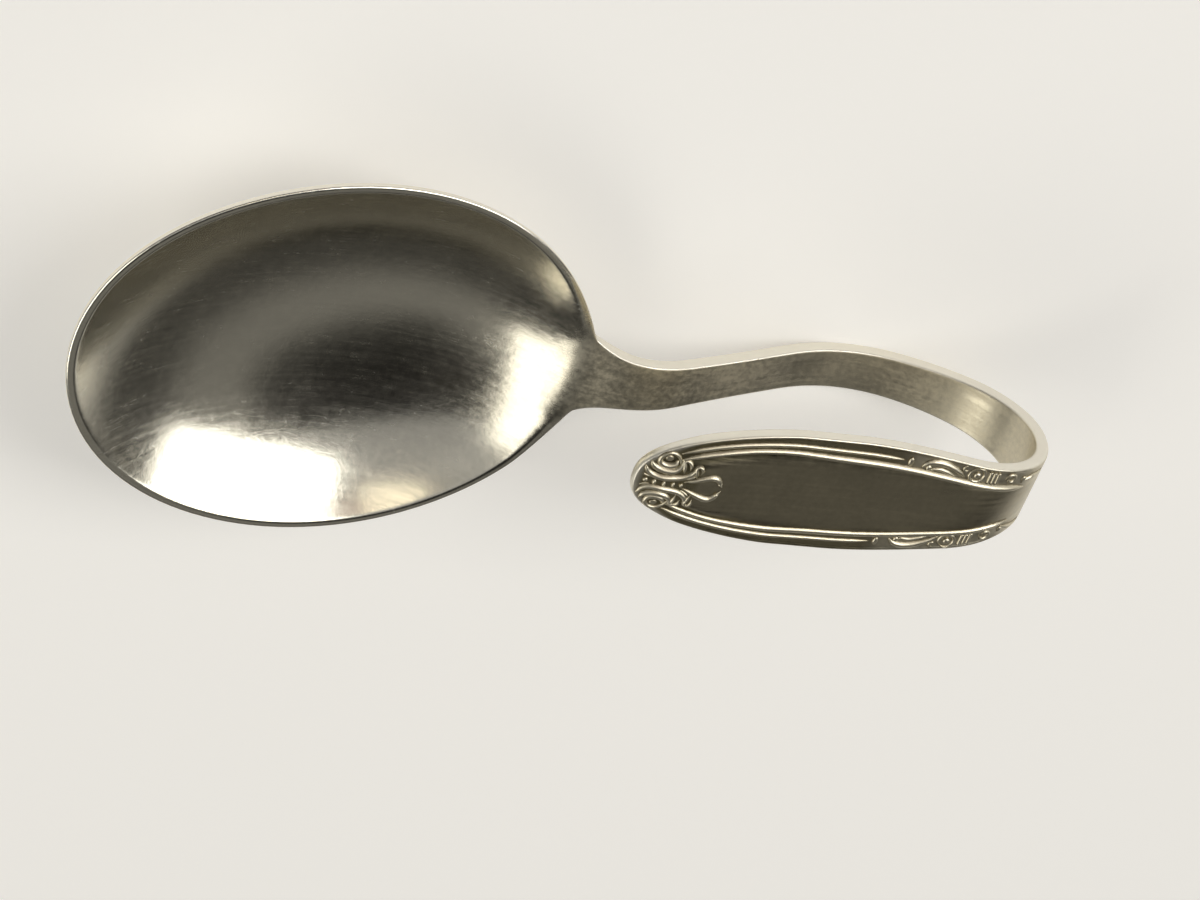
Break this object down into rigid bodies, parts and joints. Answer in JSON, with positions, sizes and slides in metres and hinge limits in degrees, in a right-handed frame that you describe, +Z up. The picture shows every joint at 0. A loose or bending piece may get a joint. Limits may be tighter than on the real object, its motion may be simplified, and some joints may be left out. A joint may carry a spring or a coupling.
{
  "type": "baby spoon",
  "caption": "Baby feeding spoon with a wide oval bowl and a flat stem folded back over itself into a finger ring, its end decorated with threads and scrolls.",
  "frame": {"origin": "on the table, under the middle of the spoon's bounding box, with the spoon at rest on its bowl and on the dip of its stem", "axes": "+X from the bowl's tip towards the bend of the handle, +Y across towards the near side, +Z up out of the bowl"},
  "size_m": [0.092, 0.0404, 0.021],
  "materials": {
    "polished_silver": "worn hand polish over sterling silver, with fine scratches",
    "satin_silver": "satin sterling silver with light tarnish",
    "relief_silver": "die-struck relief, bright on its crests with dark patina in its grounds"
  },
  "bodies": {
    "root": {"bowl": "polished_silver", "neck": "polished_silver", "stem": "polished_silver", "loop_bend": "polished_silver", "handle_panel": "satin_silver", "near_outer_thread": "relief_silver", "far_outer_thread": "relief_silver", "near_inner_thread": "relief_silver", "far_inner_thread": "relief_silver", "near_tip_scroll": "relief_silver", "far_tip_scroll": "relief_silver", "near_tip_leaves": "relief_silver", "far_tip_leaves": "relief_silver", "tip_beads": "relief_silver", "near_tip_tendril": "relief_silver", "far_tip_tendril": "relief_silver", "near_side_beads": "relief_silver", "far_side_beads": "relief_silver", "near_side_tendril": "relief_silver", "far_side_tendril": "relief_silver", "near_side_rosette": "relief_silver", "far_side_rosette": "relief_silver", "near_side_collar": "relief_silver", "far_side_collar": "relief_silver"}
  },
  "joints": []
}
